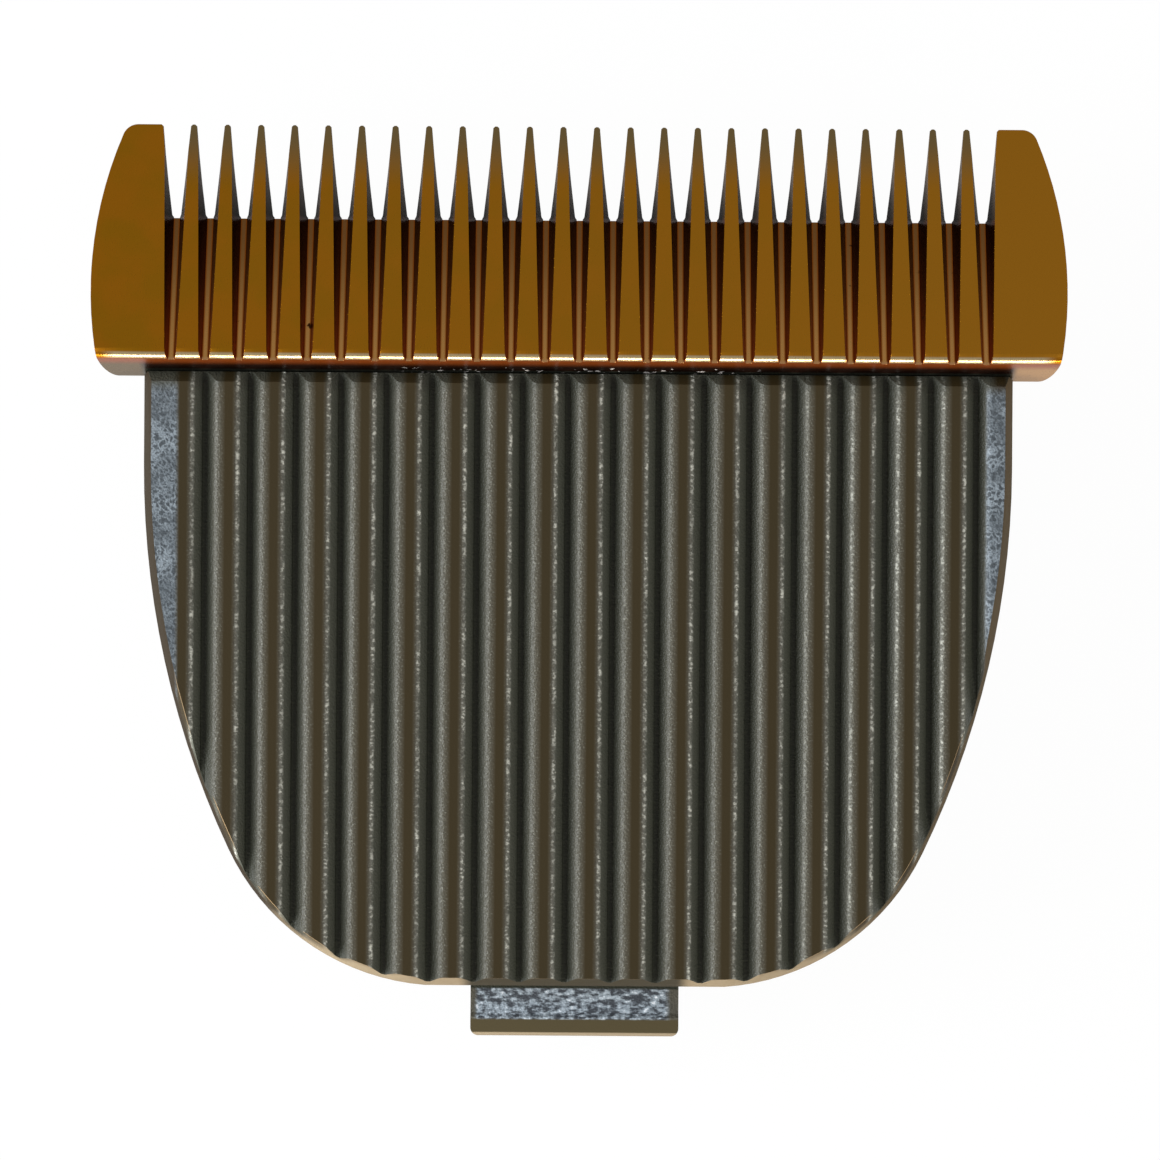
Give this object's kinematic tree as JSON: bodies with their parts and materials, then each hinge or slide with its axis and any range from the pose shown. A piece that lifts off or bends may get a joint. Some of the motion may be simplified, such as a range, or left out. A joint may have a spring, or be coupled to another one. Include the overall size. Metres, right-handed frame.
{
  "type": "hair clipper blade",
  "caption": "Snap-in hair clipper blade head: gold-coated steel comb with tapered teeth on a ribbed plastic carrier, sprung sliding cutter underneath and a rear hook.",
  "frame": {"origin": "under the middle of the head's box, on the plane of the carrier's rim", "axes": "+X along the row of teeth, +Y towards the tooth tips, +Z out of the ribbed skin face"},
  "size_m": [0.0462, 0.0434, 0.0088],
  "materials": {
    "coated_steel": "ground steel with a gold nitride coating",
    "carrier_plastic": "moulded, spark-textured, with smooth rib tops",
    "cutter_steel": "ground and lapped",
    "slider_plastic": "moulded satin",
    "spring_steel": "drawn wire",
    "screw_steel": "zinc plated"
  },
  "bodies": {
    "head": {"blade_carrier": "carrier_plastic", "comb_blade": "coated_steel", "comb_screws": "screw_steel", "left_spring": "spring_steel", "right_spring": "spring_steel"},
    "cutter": {"cutter_blade": "cutter_steel", "drive_slider": "slider_plastic"}
  },
  "joints": [
    {"name": "cutter_slide", "type": "slide", "parent": "head", "child": "cutter", "axis": [1, 0, 0], "range_m": [-0.0013, 0.0013]}
  ]
}
